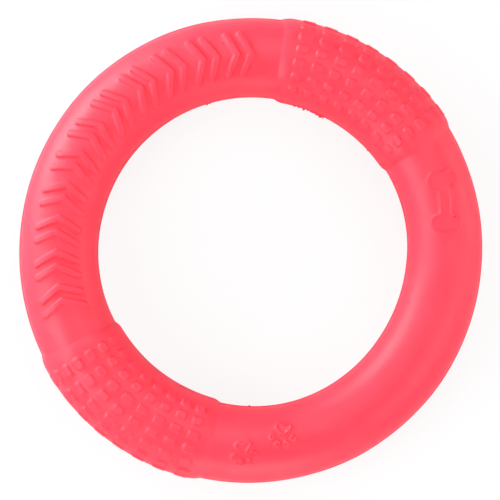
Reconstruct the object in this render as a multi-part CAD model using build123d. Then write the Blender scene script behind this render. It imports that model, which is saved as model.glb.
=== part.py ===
from build123d import *
import math
import os

# Moulded EVA foam flying ring, in millimetres. The ring's axis is +Z, the
# origin is its centre, and angles around the ring run from +X towards +Y.

# Ring
ring_radius = 75.0            # ring's axis to the middle of the tube
tube_radius = 15.0            # tube's section, between the grips
tube_facets = 36              # short flats that stand for that round section

# Bond between the two layers of foam, and the flash it leaves
bond_thickness = 0.3
bond_lip = 0.3                # stands proud of the foam inside and outside

# Grips: two stretches where the tube swells, with one flat under each pad
grip_rise = 1.0               # proud of the tube, all the way round it
grip_fairing = 3.2            # sloping end of a grip, degrees around the ring
grip_centres = (56.3, 232.8)  # degrees around the ring
grip_facets = 18              # rows of flats around the tube

# Pads: raised blocks in rows along each grip
pad_columns = 8
pad_column_pitch = 5.57       # degrees around the ring
pad_first_row = -2            # inner side of the tube, counted from its crown
pad_last_row = 4              # outer side of the tube, counted from its crown
pad_sweep = 3.7               # length of a pad at its foot, degrees around the ring
pad_width = 3.6               # width of a pad at its foot
pad_rise = 0.6                # pad's face above the grip
pad_draft = 30.0              # slope of a pad's sides, degrees
pad_root = 0.4                # part of a pad that is buried in the grip

grip_radius = tube_radius + grip_rise
grip_end = pad_columns * pad_column_pitch / 2


def tube_section(radius, facets, angle=0):
    """Section of the tube, flat at its crown, at an angle around the ring."""
    turn = 90 + 180 / facets
    outline = RegularPolygon(radius, facets, major_radius=False, rotation=turn)
    return Plane.XZ.rotated((0, 0, angle)) * Pos(ring_radius, 0) * outline


def grip(radius):
    """Swollen stretch of the tube, centred on +X: a straight step for each
    column of pads, and ends that slope a little way down into the tube."""
    buried = grip_rise / 2
    slope = grip_fairing * (grip_rise + buried) / grip_rise
    low_radius = radius - grip_rise - buried
    stations = [tube_section(low_radius, grip_facets, -grip_end - slope)]
    for column in range(pad_columns + 1):
        angle = column * pad_column_pitch - grip_end
        stations.append(tube_section(radius, grip_facets, angle))
    stations.append(tube_section(low_radius, grip_facets, grip_end + slope))
    return loft(stations, ruled=True)


def ring(offset):
    """Tube and both grips, with every surface grown by the offset."""
    body = revolve(tube_section(tube_radius + offset, tube_facets), Axis.Z)
    for centre in grip_centres:
        body += Rot(0, 0, centre) * grip(grip_radius + offset)
    return body


def pad(row):
    """One pad of a row, on its flat of the grip over the +X axis."""
    lean = math.radians(row * 360 / grip_facets)
    foot_radius = ring_radius + grip_radius * math.sin(lean)
    length = math.radians(pad_sweep) * foot_radius
    spread = 2 * pad_root * math.tan(math.radians(pad_draft))
    root_radius = grip_radius - pad_root
    root = Plane(
        origin=(
            ring_radius + root_radius * math.sin(lean),
            0,
            root_radius * math.cos(lean),
        ),
        x_dir=(0, 1, 0),
        z_dir=(math.sin(lean), 0, math.cos(lean)),
    )
    outline = root * Rectangle(length + spread, pad_width + spread)
    return extrude(outline, pad_root + pad_rise, taper=pad_draft)


def upper_pads():
    """All the pads above the bond, on both grips."""
    pads = []
    for row in range(pad_first_row, pad_last_row + 1):
        block = pad(row)
        for column in range(pad_columns):
            step = (column - (pad_columns - 1) / 2) * pad_column_pitch
            for centre in grip_centres:
                pads.append(Rot(0, 0, centre + step) * block)
    return pads


def upper_half():
    """Upper layer of foam: everything above the bond."""
    above_bond = Plane.XY.offset(bond_thickness / 2)
    layer = split(ring(0), bisect_by=above_bond, keep=Keep.TOP)
    return layer.fuse(*upper_pads())


def bond_film():
    """Thin annulus that joins the two layers and shows as a lip."""
    outline = section(ring(bond_lip), section_by=Plane.XY)
    return extrude(outline, bond_thickness / 2, both=True)


os.makedirs("parts", exist_ok=True)

upper = upper_half()
lower = mirror(upper, about=Plane.XY)

export_step(upper, "parts/upper_half.step")
export_step(lower, "parts/lower_half.step")
export_step(bond_film(), "parts/bond_film.step")
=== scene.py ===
import math

import bmesh
import bpy
import numpy as np
from mathutils import Matrix, Vector


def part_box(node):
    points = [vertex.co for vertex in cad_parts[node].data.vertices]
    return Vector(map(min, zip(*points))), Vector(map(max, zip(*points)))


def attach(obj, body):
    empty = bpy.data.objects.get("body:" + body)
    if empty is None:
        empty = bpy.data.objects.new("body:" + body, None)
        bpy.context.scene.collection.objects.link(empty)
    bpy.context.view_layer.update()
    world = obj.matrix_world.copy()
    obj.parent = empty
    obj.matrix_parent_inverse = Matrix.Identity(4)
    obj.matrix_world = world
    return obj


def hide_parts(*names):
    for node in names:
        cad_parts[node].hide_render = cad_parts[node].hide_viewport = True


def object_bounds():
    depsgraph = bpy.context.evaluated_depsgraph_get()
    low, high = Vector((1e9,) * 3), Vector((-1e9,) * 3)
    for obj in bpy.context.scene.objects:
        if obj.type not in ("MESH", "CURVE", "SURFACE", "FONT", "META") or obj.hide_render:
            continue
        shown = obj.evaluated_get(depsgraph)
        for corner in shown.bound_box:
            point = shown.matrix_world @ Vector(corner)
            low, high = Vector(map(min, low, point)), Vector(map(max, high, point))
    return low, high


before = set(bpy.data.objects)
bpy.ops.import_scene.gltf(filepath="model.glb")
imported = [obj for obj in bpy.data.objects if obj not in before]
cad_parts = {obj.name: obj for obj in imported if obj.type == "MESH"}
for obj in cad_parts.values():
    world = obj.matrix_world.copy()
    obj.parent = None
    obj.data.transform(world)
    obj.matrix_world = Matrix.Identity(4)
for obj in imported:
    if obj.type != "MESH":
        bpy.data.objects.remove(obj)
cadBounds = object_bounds()
print("frame loaded:", ", ".join(sorted(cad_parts)))

mm = 0.001
farOff = 99.0   # millimetres, where the search for the nearest rim starts
halfLow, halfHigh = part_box("upper_half")

# Lengths are in millimetres, angles in degrees: "around" runs round the ring from +X
# towards +Y, and "across" runs over the tube from its crown, outward positive.
ring = {
    "gripRise": 1.0,        # how far a grip swells out of the tube
    "padRise": 0.6,         # as the solids have it, for the tube's size
    "bondHalf": halfLow.z / mm,
    # soft foam never stays quite round: waves as turns, height and the place of a peak
    "bends": ((2, 0.31, 54.6), (3, 0.10, 30.0), (4, 0.14, 31.0)),
    "swells": ((1, 0.90, 159.0), (2, 0.31, 65.0), (3, 0.29, 100.0), (4, 0.27, 54.0)),
}
ring["tube"] = halfHigh.z / mm - ring["gripRise"] - ring["padRise"]
ring["radius"] = halfHigh.x / mm - ring["tube"]

grips = {
    "centres": (56.3, 232.8),
    "columns": 8,           # of pads
    "columnPitch": 5.57,
    "endInset": 0.2,        # full height stops this much short of the last column's end
    "fairing": 3.3,         # sloping end
    "lean": (1.1, -1.0),    # how far each grip's swell sits askew at the outer wall
    "leanSpan": (35.0, 85.0),
}

pads = {
    "firstRow": -2,
    "lastRow": 4,
    "rowPitch": 20.0,
    "rowLean": ((-0.5, -3.5), (-3.5, -1.0)),    # rows run a little askew: first and last column
    "sweep": 3.75,          # length at the foot, degrees around
    "width": 3.65,
    "corner": 1.45,
    "slope": 0.7,           # a crisp foot that rounds over into the top
    "rise": 0.98,
    "fall": 0.42,           # share of it lost towards the parting line
    "fallSpan": (48.0, 84.0),
    "sink": 0.12,           # the middle of each pad lies a little lower than its rim
    "sinkSpan": (0.63, 1.4),
    "uneven": 0.05,         # no two are quite alike: in place, and as a share of height
    "seed": 5,
}

chevrons = {
    "count": 11,            # double chevrons, one after the other
    "first": 194.4,
    "last": 93.9,
    "outer": 39.0,          # tips of the arms, degrees across
    "inner": -34.0,
    "depth": 4.0,           # how far the point runs ahead of the arm ends
    "stroke": 3.1,
    "apart": 5.4,           # between the two strokes of a pair
    "slope": 0.65,
    "rise": 1.15,
}

bone = {
    "around": 14.3,
    "across": 6.0,
    "length": 24.0,
    "knob": 3.6,
    "knobApart": 5.2,
    "shaft": 2.6,
    "blend": 1.2,
    "turn": 8.0,
}

paws = (
    {"around": 279.4, "across": -12.0, "turn": 14.0},
    {"around": 267.6, "across": 12.0, "turn": -10.0},
)

pawPads = {
    "heel": (-1.9, 2.3),        # place below the paw's middle, and radius
    "lobes": (1.9, -3.1, 1.6),  # to each side of the heel: place and radius
    "blend": 1.4,
    "toes": ((-4.1, 1.1, -24), (-1.6, 3.7, -8), (1.6, 3.7, 8), (4.1, 1.1, 24)),     # place, lean
    "toeSize": (1.15, 1.75),
    "toeReach": 1.3,            # turns the toe's even oval back into millimetres
}

# bone and paws are low plates with a raised outline
motif = {"rise": 0.55, "rim": 0.62, "rimWidth": 1.1, "slope": 0.45}

dimple = {"around": 33.3, "across": -11.0, "size": (1.6, 2.1), "depth": 0.45, "brim": 1.25}

# soft unevenness beside the grips: around, across, radius and height
lumps = ((82.4, 18.0, 5.5, 0.40), (207.0, 18.0, 5.5, 0.40), (268.5, -20.0, 6.5, 0.35))

# each half's wall draws in a little and ends in a small flange, where the halves are bonded
flange = {
    "drawIn": 0.25,
    "drawInSpan": (26.0, 10.0),     # degrees above the parting line
    "reach": 0.2,
    "reachSpan": (8.0, 4.0),
}

# faint unevenness of the moulded skin, with a seed for the upper and the lower half
skinWaves = (
    {"height": 0.05, "size": 24.0, "count": 14, "seeds": (11, 12)},
    {"height": 0.012, "size": 6.0, "count": 22, "seeds": (21, 22)},
)

skinMesh = {
    "coarse": 1.0,          # edge length in millimetres on plain stretches
    "halvings": 2,          # finer steps along the rim of each raised shape
    "reach": (0.95, 0.45),  # how far from a rim each halving still works
    "lengths": (0.75, 2.0),     # from this share of a step's length to this many coarse ones
    "padLine": 0.25,        # the middle of a pad's slope, in from its foot
    "fairingWeight": 1.3,   # degrees along a grip's end, counted as millimetres
    "wallWeight": 0.11,     # degrees above the parting line, likewise
    "sharp": 70,            # folds sharper than this stay crisp
}


def smooth(low, high, x):
    t = np.clip((x - low) / (high - low), 0.0, 1.0)
    return t * t * (3.0 - 2.0 * t)


def turned(a):
    return (a + 180.0) % 360.0 - 180.0


def ripple(around, across, seed, size, count):
    # smooth unevenness that closes on itself around the ring
    rng = np.random.default_rng(seed)
    out = np.zeros(np.broadcast(around, across).shape)
    turns = 2 * math.pi * ring["radius"] / size
    for _ in range(count):
        k = round(rng.uniform(-1.0, 1.0) * turns)
        j = rng.uniform(-1.0, 1.0) * 2 * math.pi * ring["tube"] / size
        phase = rng.uniform(0, 2 * math.pi)
        out += np.sin(np.radians(around) * k + np.radians(across) * j + phase)
    return out / math.sqrt(count)


def gripEnd(around, across):
    # degrees past the end of the nearer grip's full height
    half = grips["columns"] * grips["columnPitch"] / 2 - grips["endInset"]
    askew = smooth(*grips["leanSpan"], across)
    centres = [at + lean * askew for at, lean in zip(grips["centres"], grips["lean"])]
    return np.min([np.abs(turned(around - at)) for at in centres], axis=0) - half


def gripSwell(around, across):
    # rounded at the top of the fairing, with a crease at its foot
    t = np.clip(1.0 - gripEnd(around, across) / grips["fairing"], 0.0, 1.0)
    return t * (2.0 - t)


def segment(u, v, a, b):
    # distance from the segment between two points
    du, dv = b[0] - a[0], b[1] - a[1]
    t = np.clip(((u - a[0]) * du + (v - a[1]) * dv) / (du * du + dv * dv), 0, 1)
    return np.hypot(u - a[0] - t * du, v - a[1] - t * dv)


def blendMin(a, b, k):
    h = np.clip(0.5 + 0.5 * (b - a) / k, 0, 1)
    return b * (1 - h) + a * h - k * h * (1 - h)


padCounts = (len(grips["centres"]), grips["columns"], pads["lastRow"] - pads["firstRow"] + 1)
padUnevenness = np.random.default_rng(pads["seed"]).normal(0, pads["uneven"], (3, *padCounts))


def padRim(around, across):
    # distance outside the rim of the nearest pad, and that pad's own height
    rim = np.full(around.shape, farOff)
    height = np.ones(around.shape)
    gripTube = ring["tube"] + ring["gripRise"]
    last = grips["columns"] - 1
    for which, centre in enumerate(grips["centres"]):
        away = turned(around - centre)
        column = np.clip(np.round(away / grips["columnPitch"] + last / 2), 0, last)
        start, stop = pads["rowLean"][which]
        lean = start + (stop - start) * column / last
        row = np.clip(np.round((across - lean) / pads["rowPitch"]), pads["firstRow"], pads["lastRow"])
        lean = lean + row * pads["rowPitch"]
        odd = padUnevenness[:, which, column.astype(int), row.astype(int) - pads["firstRow"]]
        reach = ring["radius"] + gripTube * np.sin(np.radians(lean))
        u = np.radians(away - (column - last / 2) * grips["columnPitch"]) * reach + odd[0]
        v = np.radians(across - lean) * gripTube + odd[1]
        du = np.abs(u) - (np.radians(pads["sweep"]) * reach / 2 - pads["corner"])
        dv = np.abs(v) - (pads["width"] / 2 - pads["corner"])
        edge = np.hypot(np.maximum(du, 0), np.maximum(dv, 0)) - pads["corner"]
        edge = edge + np.minimum(np.maximum(du, dv), 0)
        height = np.where(edge < rim, 1 + odd[2], height)
        rim = np.minimum(rim, edge)
    return rim, height


def chevronRim(around, across):
    rim = np.full(around.shape, farOff)
    v = np.radians(across) * ring["tube"]
    high = math.radians(chevrons["outer"]) * ring["tube"] - chevrons["stroke"] / 2
    low = math.radians(chevrons["inner"]) * ring["tube"] + chevrons["stroke"] / 2
    middle = (high + low) / 2
    reach = ring["radius"] + ring["tube"] * np.sin(np.radians(across))
    for at in np.linspace(chevrons["first"], chevrons["last"], chevrons["count"]):
        u = -np.radians(turned(around - at)) * reach
        for ahead in (-chevrons["apart"] / 2, chevrons["apart"] / 2):
            back, point = ahead - chevrons["depth"] / 2, ahead + chevrons["depth"] / 2
            rim = np.minimum(rim, segment(u, v, (back, high), (point, middle)))
            rim = np.minimum(rim, segment(u, v, (point, middle), (back, low)))
    return rim - chevrons["stroke"] / 2


def motifPlane(around, across, at, lean, turn):
    # flat coordinates in millimetres round the middle of a motif
    reach = ring["radius"] + ring["tube"] * math.sin(math.radians(lean))
    u = np.radians(turned(around - at)) * reach
    v = np.radians(across - lean) * ring["tube"]
    c, s = math.cos(math.radians(turn)), math.sin(math.radians(turn))
    return c * u + s * v, c * v - s * u


def boneRim(u, v):
    half = bone["length"] / 2 - bone["knob"]
    edge = segment(u, v, (-half, 0), (half, 0)) - bone["shaft"]
    for end in (-half, half):
        for side in (-1, 1):
            knob = np.hypot(u - end, v - side * bone["knobApart"] / 2) - bone["knob"]
            edge = blendMin(edge, knob, bone["blend"])
    return edge


def pawRim(u, v):
    heelV, heelSize = pawPads["heel"]
    lobeU, lobeV, lobeSize = pawPads["lobes"]
    wide, long = pawPads["toeSize"]
    edge = np.hypot(u, v - heelV) - heelSize
    for side in (-1, 1):
        lobe = np.hypot(u - side * lobeU, v - lobeV) - lobeSize
        edge = blendMin(edge, lobe, pawPads["blend"])
    for toeU, toeV, lean in pawPads["toes"]:
        c, s = math.cos(math.radians(lean)), math.sin(math.radians(lean))
        du, dv = (u - toeU) * c - (v - toeV) * s, (u - toeU) * s + (v - toeV) * c
        edge = np.minimum(edge, (np.hypot(du / wide, dv / long) - 1.0) * pawPads["toeReach"])
    return edge


def motifRim(around, across):
    rim = boneRim(*motifPlane(around, across, bone["around"], bone["across"], bone["turn"]))
    for paw in paws:
        u, v = motifPlane(around, across, paw["around"], paw["across"], paw["turn"])
        rim = np.minimum(rim, pawRim(u, v))
    return rim


def nearRim(around, across, printed):
    # distance from the middle of the nearest slope between high and low
    away = np.abs(padRim(around, across)[0] + skinMesh["padLine"])
    crease = np.abs(gripEnd(around, across) - grips["fairing"])
    away = np.minimum(away, skinMesh["fairingWeight"] * crease)
    away = np.minimum(away, skinMesh["wallWeight"] * (90.0 - np.abs(across)))
    if printed:
        away = np.minimum(away, np.abs(chevronRim(around, across) + chevrons["slope"] / 2))
        away = np.minimum(away, np.abs(motifRim(around, across) + motif["rimWidth"] / 2))
    return away


def wallShape(around, across):
    above = 90.0 - np.abs(across)
    out = flange["reach"] * smooth(*flange["reachSpan"], above)
    out = out - flange["drawIn"] * smooth(*flange["drawInSpan"], above)
    # outside, the grips are full down to the parting line
    return out * np.where(across < 0, 1.0, 1.0 - gripSwell(around, across))


def relief(around, across, printed):
    rim, height = padRim(around, across)
    rounding = np.clip(-rim / pads["slope"], 0.0, 1.0)
    out = pads["rise"] * height * rounding * (2.0 - rounding)
    out = out - pads["sink"] * smooth(*pads["sinkSpan"], -rim)
    out = out * (1.0 - pads["fall"] * smooth(*pads["fallSpan"], np.abs(across)))
    out = out + ring["gripRise"] * gripSwell(around, across)
    out = out + wallShape(around, across)
    if printed:
        rim = chevronRim(around, across)
        out = out + chevrons["rise"] * smooth(0.0, -chevrons["slope"], rim)
        rim = motifRim(around, across)
        out = out + motif["rise"] * smooth(0.0, -motif["slope"], rim)
        away = np.abs(rim + motif["rimWidth"] / 2)
        out = out + motif["rim"] * smooth(motif["rimWidth"] / 2, 0.0, away)
        u, v = motifPlane(around, across, dimple["around"], dimple["across"], 0.0)
        bowl = np.hypot(u / dimple["size"][0], v / dimple["size"][1])
        out = out - dimple["depth"] * smooth(dimple["brim"], 0.0, bowl)
        for at, lean, size, height in lumps:
            u, v = motifPlane(around, across, at, lean, 0.0)
            out = out + height * np.exp(-(u * u + v * v) / size ** 2)
    for wave in skinWaves:
        seed = wave["seeds"][0 if printed else 1]
        out = out + wave["height"] * ripple(around, across, seed, wave["size"], wave["count"])
    return out


def waves(around, heights):
    return sum(size * np.cos(np.radians((around - at) * turns)) for turns, size, at in heights)


def tubePoint(around, across, out, side):
    # a point of the surface, "out" millimetres from the middle of the tube
    a, c = np.radians(around), np.radians(across)
    middle = ring["radius"] + waves(around, ring["bends"])
    fat = 1 + waves(around, ring["swells"]) / (2 * ring["tube"])
    reach = middle + fat * out * np.sin(c)
    return np.stack(
        [reach * np.cos(a), reach * np.sin(a), side * out * np.cos(c)], axis=-1
    ) * mm


def vertexPoints(bm):
    return np.array([v.co for v in bm.verts]).reshape(-1, 3)


def anglesOf(points):
    # around and across of points on or near the plain tube, in millimetres
    around = np.degrees(np.arctan2(points[:, 1], points[:, 0])) % 360.0
    out = np.hypot(points[:, 0], points[:, 1]) - ring["radius"]
    return around, np.degrees(np.arctan2(out, np.maximum(points[:, 2], 0.0)))


def finishMesh(bm, name, material):
    data = bpy.data.meshes.new(name)
    bm.to_mesh(data)
    bm.free()
    data.polygons.foreach_set("use_smooth", [True] * len(data.polygons))
    data.set_sharp_from_angle(angle=math.radians(skinMesh["sharp"]))
    data.materials.append(material)
    piece = bpy.data.objects.new(name, data)
    bpy.context.scene.collection.objects.link(piece)
    data.calc_loop_triangles()
    print(name, "triangles", len(data.loop_triangles))
    return piece


def plainHalf():
    # half a tube with its flat bond face, in even squares
    columns = round(2 * math.pi * ring["radius"] / skinMesh["coarse"])
    rows = round(math.pi * ring["tube"] / skinMesh["coarse"])
    bm = bmesh.new()
    grid = []
    for row in range(rows + 1):
        c = math.pi * (row / rows - 0.5)
        reach, high = ring["radius"] + ring["tube"] * math.sin(c), ring["tube"] * math.cos(c)
        turns = [2 * math.pi * column / columns for column in range(columns)]
        grid.append([bm.verts.new((reach * math.cos(a), reach * math.sin(a), high)) for a in turns])
    for row in range(rows + 1):
        low, high = grid[row], grid[(row + 1) % (rows + 1)]
        for column in range(columns):
            after = (column + 1) % columns
            bm.faces.new((low[column], high[column], high[after], low[after]))
    return bm


def refine(bm, printed):
    # halve the edges that run along or across the rim of a raised shape
    shortest, longest = skinMesh["lengths"]
    for step in range(skinMesh["halvings"]):
        points = vertexPoints(bm)
        bm.verts.index_update()
        ends = np.array([[e.verts[0].index, e.verts[1].index] for e in bm.edges])
        middles = (points[ends[:, 0]] + points[ends[:, 1]]) / 2
        length = np.linalg.norm(points[ends[:, 0]] - points[ends[:, 1]], axis=1)
        around, across = anglesOf(middles)
        wanted = nearRim(around, across, printed) < skinMesh["reach"][step]
        wanted &= length < longest * skinMesh["coarse"]
        wanted &= length > shortest * skinMesh["coarse"] / 2 ** step
        bm.edges.ensure_lookup_table()
        chosen = [bm.edges[i] for i in np.nonzero(wanted)[0]]
        bmesh.ops.subdivide_edges(bm, edges=chosen, cuts=1, use_grid_fill=True)


def foamHalf(name, side, printed, material):
    bm = plainHalf()
    refine(bm, printed)
    points = vertexPoints(bm)
    around, across = anglesOf(points)
    bondFace = points[:, 2] < ring["bondHalf"] / 2
    out = ring["tube"] + relief(around, across, printed)
    final = tubePoint(around, across, out, side)
    final[bondFace, 2] = side * ring["bondHalf"] * mm
    for vertex, point in zip(bm.verts, final):
        vertex.co = point
    if side < 0:
        bmesh.ops.reverse_faces(bm, faces=bm.faces[:])
    crowded = [face for face in bm.faces if len(face.verts) > 4]
    bmesh.ops.triangulate(bm, faces=crowded)
    return finishMesh(bm, name, material)


seam = {
    "steps": 1200,
    "proud": 0.25,          # flash left past the flange
    # half of its section: share of "proud", height above the parting line
    "section": ((-0.6, 0.45), (0.1, 0.43), (0.6, 0.34), (0.9, 0.2), (1.0, 0.0)),
    "root": -1.2,           # where the section starts, inside the wall
    "mean": 0.85,           # trimmed by hand, so the flash comes and goes
    "wander": 0.25,
    "least": 0.5,
    "most": 1.2,
    "wave": 30.0,
    "waves": 9,
    "seed": 31,
    "crumbs": (  # leftovers of trimmed flash: around, inner or outer side, width, extra reach
        (73.6, -1, 0.5, 0.4), (71.9, -1, 0.35, 0.35), (69.9, -1, 0.5, 0.8), (68.2, -1, 0.4, 0.3),
        (66.4, -1, 1.4, 0.35), (64.6, -1, 0.9, 0.6), (63.0, -1, 1.0, 0.95), (61.8, -1, 0.3, 1.2),
        (107.0, -1, 0.5, 0.5), (105.9, -1, 0.35, 0.4), (41.0, -1, 0.4, 0.3), (214.0, 1, 0.5, 0.25),
        (269.1, -1, 0.5, 0.35),
    ),
}


def seamBead(material):
    around = np.arange(seam["steps"]) * 360.0 / seam["steps"]
    halfSection = [(seam["root"], ring["bondHalf"])] + list(seam["section"])
    section = halfSection + [(share, -high) for share, high in reversed(halfSection[:-1])]
    rows = []
    for side in (1, -1):
        across = np.full(around.shape, 90.0 * side)
        wall = ring["tube"] + ring["gripRise"] * gripSwell(around, across)
        wall = wall + wallShape(around, across)
        wander = ripple(around, np.zeros(1), seam["seed"] + side, seam["wave"], seam["waves"])
        uneven = np.clip(seam["mean"] + seam["wander"] * wander, seam["least"], seam["most"])
        proud = seam["proud"] * uneven
        for at, crumbSide, width, reach in seam["crumbs"]:
            if crumbSide == side:
                away = np.abs(turned(around - at)) / width
                proud = proud + reach * np.clip(1.0 - away ** 2, 0, 1)
        for share, high in section if side > 0 else section[::-1]:
            points = tubePoint(around, across, wall + share * proud, 1.0)
            points[:, 2] = high * mm
            rows.append(points)
    bm = bmesh.new()
    grid = [[bm.verts.new(point) for point in row] for row in rows]
    for row in range(len(grid)):
        low, high = grid[row], grid[(row + 1) % len(grid)]
        for column in range(seam["steps"]):
            after = (column + 1) % seam["steps"]
            bm.faces.new((low[column], high[column], high[after], low[after]))
    return finishMesh(bm, "moldSeam", material)


def toLinear(hexColor):
    value = [int(hexColor[i:i + 2], 16) / 255 for i in (1, 3, 5)]
    return tuple(c / 12.92 if c <= 0.04045 else ((c + 0.055) / 1.055) ** 2.4 for c in value) + (1.0,)


def addNode(tree, kind, settings=None, links=None):
    node = tree.nodes.new(kind)
    for key, value in (settings or {}).items():
        if hasattr(node, key):
            setattr(node, key, value)
        else:
            node.inputs[key].default_value = value
    for key, source in (links or {}).items():
        tree.links.new(source, node.inputs[key])
    return node


foam = {
    "base": "#FF3F56",      # coral dye in the foam
    "deep": "#FF3B52",
    "roughness": 0.49,
    "ior": 1.5,
    "gloss": 0.45,          # the skin's fine pores leave less than a solid plastic's 0.5
    "glow": 0.6,            # share of the light that sinks in
    "scatter": 0.002,       # metres that red light wanders under the skin
    "wander": (1.0, 0.03, 0.04),    # share of that way for red, green and blue
    "cloud": 9.0,           # size of faint colour drifts
    "cloudSpan": (0.3, 0.7),
    "cloudNoise": (2.0, 0.45),      # detail and roughness
    "grain": 0.55,          # size of the skin's fine grain, drawn a little coarse so that it shows
    "grainNoise": (3.0, 0.6),
    "grainDepth": 0.018,
    "grainStrength": 0.5,
}

specks = {
    "color": "#CC0012",     # crumbs of darker foam pressed into the skin
    "cover": 0.8,
    "edge": (0.7, 1.3),     # where the cover starts and ends to fade, as shares of the radius
    "places": (             # around, across, radius
        (9.4, 15.5, 0.45), (249.3, 46.0, 0.42), (98.0, 21.0, 0.32), (143.3, 42.2, 0.3),
        (156.3, -45.5, 0.28), (105.8, -16.5, 0.26),
    ),
}


def addSpecks(tree, place, color):
    start, stop = specks["edge"]
    for around, across, size in specks["places"]:
        around, across = np.array([around]), np.array([across])
        out = ring["tube"] + relief(around, across, True)
        away = addNode(
            tree, "ShaderNodeVectorMath", {"operation": "DISTANCE"}, {0: place.outputs["Object"]}
        )
        away.inputs[1].default_value = tubePoint(around, across, out, 1)[0]
        cover = addNode(
            tree, "ShaderNodeMapRange",
            {
                "From Min": start * size * mm,
                "From Max": stop * size * mm,
                "To Min": specks["cover"],
                "To Max": 0.0,
            },
            {"Value": away.outputs["Value"]},
        )
        blend = addNode(
            tree, "ShaderNodeMix", {"data_type": "RGBA"}, {0: cover.outputs["Result"], 6: color}
        )
        blend.inputs[7].default_value = toLinear(specks["color"])
        color = blend.outputs[2]
    return color


def evaFoam(name, look):
    # EVA foam, moulded hot against a blasted tool: satin skin, light sinks in and glows red
    material = bpy.data.materials.new(name)
    material.use_nodes = True
    tree = material.node_tree
    tree.nodes.clear()
    place = addNode(tree, "ShaderNodeTexCoord")
    detail, roughness = look["cloudNoise"]
    cloud = addNode(
        tree, "ShaderNodeTexNoise",
        {"Scale": 1 / (look["cloud"] * mm), "Detail": detail, "Roughness": roughness},
        {"Vector": place.outputs["Object"]},
    )
    ramp = addNode(tree, "ShaderNodeValToRGB", {}, {"Fac": cloud.outputs["Fac"]})
    for stop, position, tone in zip(ramp.color_ramp.elements, look["cloudSpan"], ("deep", "base")):
        stop.position = position
        stop.color = toLinear(look[tone])
    detail, roughness = look["grainNoise"]
    grain = addNode(
        tree, "ShaderNodeTexNoise",
        {"Scale": 1 / (look["grain"] * mm), "Detail": detail, "Roughness": roughness},
        {"Vector": place.outputs["Object"]},
    )
    bump = addNode(
        tree, "ShaderNodeBump",
        {"Strength": look["grainStrength"], "Distance": look["grainDepth"] * mm},
        {"Height": grain.outputs["Fac"]},
    )
    skin = addNode(
        tree, "ShaderNodeBsdfPrincipled",
        {
            "Roughness": look["roughness"],
            "IOR": look["ior"],
            "Specular IOR Level": look["gloss"],
            "Subsurface Weight": look["glow"],
            "Subsurface Radius": look["wander"],
            "Subsurface Scale": look["scatter"],
        },
        {"Base Color": addSpecks(tree, place, ramp.outputs["Color"]), "Normal": bump.outputs["Normal"]},
    )
    addNode(tree, "ShaderNodeOutputMaterial", {}, {"Surface": skin.outputs["BSDF"]})
    return material


foamSkin = evaFoam("moldedEvaFoam", foam)
# flash is so thin that the light comes through it, a deeper crimson
seamSkin = evaFoam("trimmedEvaFlash", dict(foam, base="#FF3354", deep="#FF2D4E", scatter=0.0004))

print("materials ready")
upperFoam = foamHalf("upperFoam", 1, True, foamSkin)
lowerFoam = foamHalf("lowerFoam", -1, False, foamSkin)
moldSeam = seamBead(seamSkin)

for piece, node, slotName in (
    (upperFoam, "upper_half", "foam"),
    (lowerFoam, "lower_half", "foam"),
    (moldSeam, "bond_film", "bond"),
):
    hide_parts(node)
    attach(piece, "root")
print("pieces ready")

camera = {
    "distance": 2.0,        # metres
    "sensor": 36.0,
    "width": 193.9,         # millimetres of the ring's mid plane that the view takes in
    "target": (-0.70, 0.28),
    "lean": 1.65,           # degrees off the vertical
    "leanTo": 236.0,        # degrees around, the side the camera stands towards
    "clipEnd": 20.0,
}


def addCamera():
    data = bpy.data.cameras.new("camera")
    data.sensor_width = camera["sensor"]
    data.lens = data.sensor_width * camera["distance"] / (camera["width"] * mm)
    data.clip_end = camera["clipEnd"]
    eye = bpy.data.objects.new("camera", data)
    bpy.context.scene.collection.objects.link(eye)
    lean, to = math.radians(camera["lean"]), math.radians(camera["leanTo"])
    back = Vector((math.sin(lean) * math.cos(to), math.sin(lean) * math.sin(to), math.cos(lean)))
    target = Vector((camera["target"][0] * mm, camera["target"][1] * mm, 0.0))
    right = Vector((0, 1, 0)).cross(back).normalized()
    up = back.cross(right)
    turn = Matrix((right, up, back)).transposed().to_4x4()
    eye.matrix_world = Matrix.Translation(target + back * camera["distance"]) @ turn
    bpy.context.scene.camera = eye


# sizes and distances here and below are in metres, lamp powers in watts
studio = {
    "floor": "#F4F4F4",     # as the eye sees it
    "bounce": "#D0D0D0",    # as it lights the ring from below
    "floorSize": 3.0,
    "floorGlow": 0.86,      # share of the floor that the eye sees as plain white paper
    "air": 0.15,            # soft light from everywhere
}


def paleFloor():
    material = bpy.data.materials.new("matteWhitePaper")
    material.use_nodes = True
    tree = material.node_tree
    tree.nodes.clear()
    ray = addNode(tree, "ShaderNodeLightPath")
    tone = addNode(tree, "ShaderNodeMix", {"data_type": "RGBA"}, {0: ray.outputs["Is Camera Ray"]})
    tone.inputs[6].default_value = toLinear(studio["bounce"])
    tone.inputs[7].default_value = toLinear(studio["floor"])
    paper = addNode(tree, "ShaderNodeBsdfDiffuse", {}, {"Color": tone.outputs[2]})
    white = addNode(tree, "ShaderNodeEmission", {"Color": (1, 1, 1, 1), "Strength": 1.0})
    share = addNode(
        tree, "ShaderNodeMath", {"operation": "MULTIPLY"}, {0: ray.outputs["Is Camera Ray"]}
    )
    share.inputs[1].default_value = studio["floorGlow"]
    mix = addNode(
        tree, "ShaderNodeMixShader", {},
        {0: share.outputs[0], 1: paper.outputs[0], 2: white.outputs[0]},
    )
    addNode(tree, "ShaderNodeOutputMaterial", {}, {"Surface": mix.outputs[0]})
    return material


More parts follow.
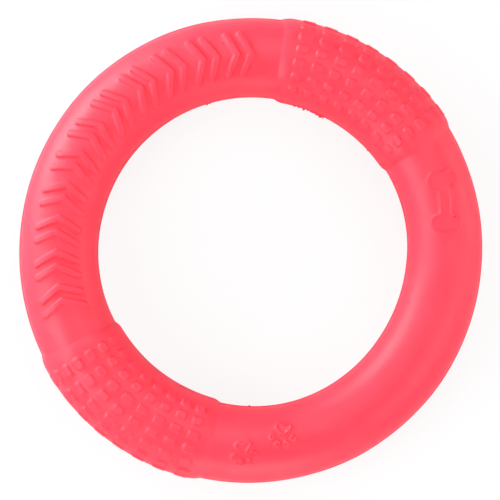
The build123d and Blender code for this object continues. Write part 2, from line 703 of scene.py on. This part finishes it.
def addFloor():
    half = studio["floorSize"] / 2
    low = min(cadBounds[0].z, min(vertex.co.z for vertex in lowerFoam.data.vertices))
    corners = [(-half, -half, low), (half, -half, low), (half, half, low), (-half, half, low)]
    data = bpy.data.meshes.new("floor")
    data.from_pydata(corners, [], [(0, 1, 2, 3)])
    data.materials.append(paleFloor())
    floor = bpy.data.objects.new("floor", data)
    bpy.context.scene.collection.objects.link(floor)


def addWorld():
    world = bpy.data.worlds.new("air")
    bpy.context.scene.world = world
    world.use_nodes = True
    tree = world.node_tree
    tree.nodes.clear()
    ray = addNode(tree, "ShaderNodeLightPath")
    air = addNode(tree, "ShaderNodeBackground", {"Color": (1, 1, 1, 1), "Strength": studio["air"]})
    white = addNode(tree, "ShaderNodeBackground", {"Color": (1, 1, 1, 1), "Strength": 1.0})
    mix = addNode(
        tree, "ShaderNodeMixShader", {},
        {0: ray.outputs["Is Camera Ray"], 1: air.outputs[0], 2: white.outputs[0]},
    )
    addNode(tree, "ShaderNodeOutputWorld", {}, {"Surface": mix.outputs[0]})


softboxes = (
    {"name": "sideBox", "around": 145, "height": 9, "distance": 1.0, "size": (0.7, 0.5), "power": 15.6},
    {"name": "leftBox", "around": 200, "height": 38, "distance": 1.0, "size": (0.6, 0.6), "power": 6.6},
    {"name": "backBox", "around": 65, "height": 60, "distance": 1.2, "size": (1.0, 1.0), "power": 6.4},
    {"name": "rightBox", "around": 335, "height": 38, "distance": 1.0, "size": (0.6, 0.6), "power": 3.4},
    {"name": "rightFill", "around": 14, "height": 9, "distance": 1.0, "size": (0.6, 0.5), "power": 3.2},
    {"name": "frontFill", "around": 272, "height": 9, "distance": 1.0, "size": (0.6, 0.5), "power": 4.4},
)


def addSoftbox(box):
    data = bpy.data.lights.new(box["name"], "AREA")
    data.shape = "RECTANGLE"
    data.size, data.size_y = box["size"]
    data.energy = box["power"]
    lamp = bpy.data.objects.new(box["name"], data)
    bpy.context.scene.collection.objects.link(lamp)
    around, height = math.radians(box["around"]), math.radians(box["height"])
    away = Vector((
        math.cos(around) * math.cos(height), math.sin(around) * math.cos(height), math.sin(height),
    ))
    lamp.matrix_world = (
        Matrix.Translation(away * box["distance"]) @ away.to_track_quat("Z", "Y").to_matrix().to_4x4()
    )


addCamera()
addFloor()
addWorld()
for box in softboxes:
    addSoftbox(box)
bpy.context.scene.view_settings.view_transform = "Standard"
print("stage, lamps and camera ready")
